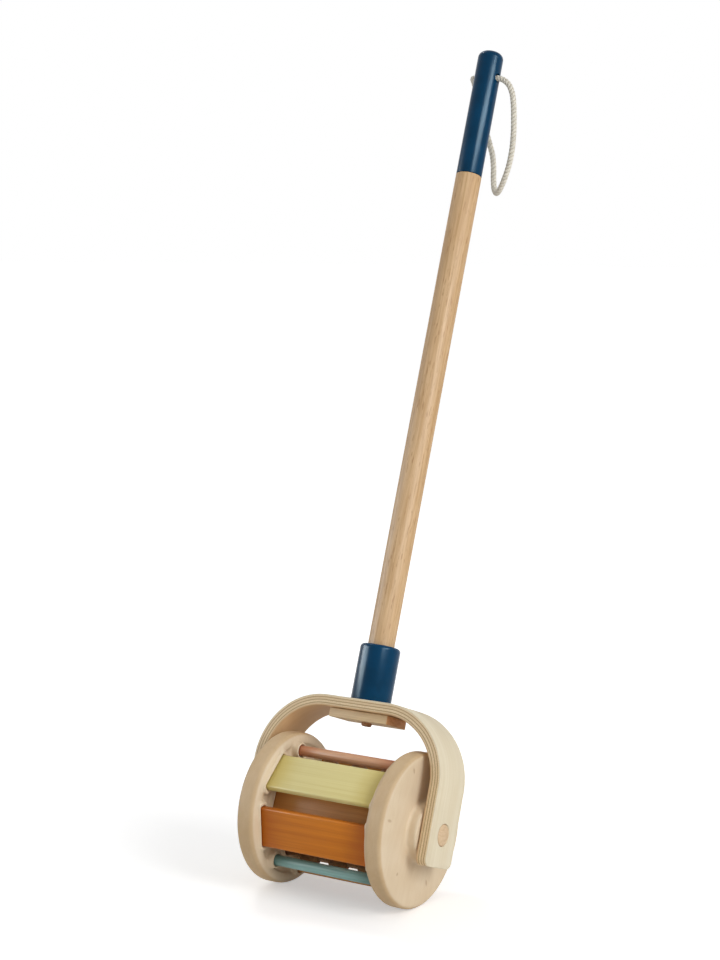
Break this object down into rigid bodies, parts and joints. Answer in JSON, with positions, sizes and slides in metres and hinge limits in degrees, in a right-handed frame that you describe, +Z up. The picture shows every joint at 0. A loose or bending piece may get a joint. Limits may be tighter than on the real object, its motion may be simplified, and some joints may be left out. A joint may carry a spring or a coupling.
{
  "type": "wooden push walker",
  "caption": "Child's wooden push-along roller: a slatted rattle drum between moulded discs, in a bent plywood fork on a long leaning handle with a lacquered grip.",
  "frame": {"origin": "middle of the hand grip, on the handle's centre line", "axes": "+X along the axle towards the right-hand disc, +Y to the back, where the child walks, +Z straight up; the handle leans back 20 degrees"},
  "size_m": [0.144, 0.2438, 0.5625],
  "materials": {
    "rod_wood": "satin lacquer, grain lengthwise",
    "blue_lacquer": "glossy blue lacquer on wood",
    "birch_ply": "sanded birch plywood",
    "steel": "plain zinc-plated steel",
    "plug_wood": "end grain, lacquered",
    "axle_wood": "sanded dowel",
    "cotton_cord": "twisted cotton",
    "disc_wood": "moulded wood, matt, very fine grain",
    "natural_wood": "satin lacquer",
    "yellow_stain": "satin yellow stain",
    "orange_stain": "satin orange stain",
    "terracotta_stain": "satin terracotta stain",
    "teal_stain": "satin teal stain"
  },
  "bodies": {
    "frame": {"handle_rod": "rod_wood", "grip": "blue_lacquer", "collar": "blue_lacquer", "fork": "birch_ply", "spacer_block": "birch_ply", "handle_screw": "steel", "screw_plug": "plug_wood", "axle": "axle_wood", "hang_cord": "cotton_cord"},
    "roller": {"disc_left": "disc_wood", "disc_right": "disc_wood", "slat_yellow": "yellow_stain", "slat_orange": "orange_stain", "slat_inner_front": "natural_wood", "slat_back_upper": "natural_wood", "slat_back_lower": "natural_wood", "slat_inner_back": "natural_wood", "dowel_terracotta": "terracotta_stain", "dowel_teal": "teal_stain", "dowel_back_upper": "natural_wood", "dowel_back_lower": "natural_wood", "bead_bar_lower": "natural_wood", "bead_bar_upper": "natural_wood"},
    "bead_lower_left": {"bead_lower_left": "natural_wood"},
    "bead_lower_middle": {"bead_lower_middle": "natural_wood"},
    "bead_lower_right": {"bead_lower_right": "natural_wood"},
    "bead_upper_left": {"bead_upper_left": "natural_wood"},
    "bead_upper_middle": {"bead_upper_middle": "natural_wood"},
    "bead_upper_right": {"bead_upper_right": "natural_wood"}
  },
  "joints": [
    {"name": "roller_spin", "type": "hinge", "parent": "frame", "child": "roller", "pos_m": [0, -0.16998, -0.46703], "axis": [1, 0, 0], "continuous": true},
    {"name": "bead_lower_left_spin", "type": "hinge", "parent": "roller", "child": "bead_lower_left", "pos_m": [0, -0.18103, -0.49243], "axis": [1, 0, 0], "continuous": true},
    {"name": "bead_lower_middle_spin", "type": "hinge", "parent": "roller", "child": "bead_lower_middle", "pos_m": [0, -0.18103, -0.49243], "axis": [1, 0, 0], "continuous": true},
    {"name": "bead_lower_right_spin", "type": "hinge", "parent": "roller", "child": "bead_lower_right", "pos_m": [0, -0.18103, -0.49243], "axis": [1, 0, 0], "continuous": true},
    {"name": "bead_upper_left_spin", "type": "hinge", "parent": "roller", "child": "bead_upper_left", "pos_m": [0, -0.15894, -0.44162], "axis": [1, 0, 0], "continuous": true},
    {"name": "bead_upper_middle_spin", "type": "hinge", "parent": "roller", "child": "bead_upper_middle", "pos_m": [0, -0.15894, -0.44162], "axis": [1, 0, 0], "continuous": true},
    {"name": "bead_upper_right_spin", "type": "hinge", "parent": "roller", "child": "bead_upper_right", "pos_m": [0, -0.15894, -0.44162], "axis": [1, 0, 0], "continuous": true}
  ]
}
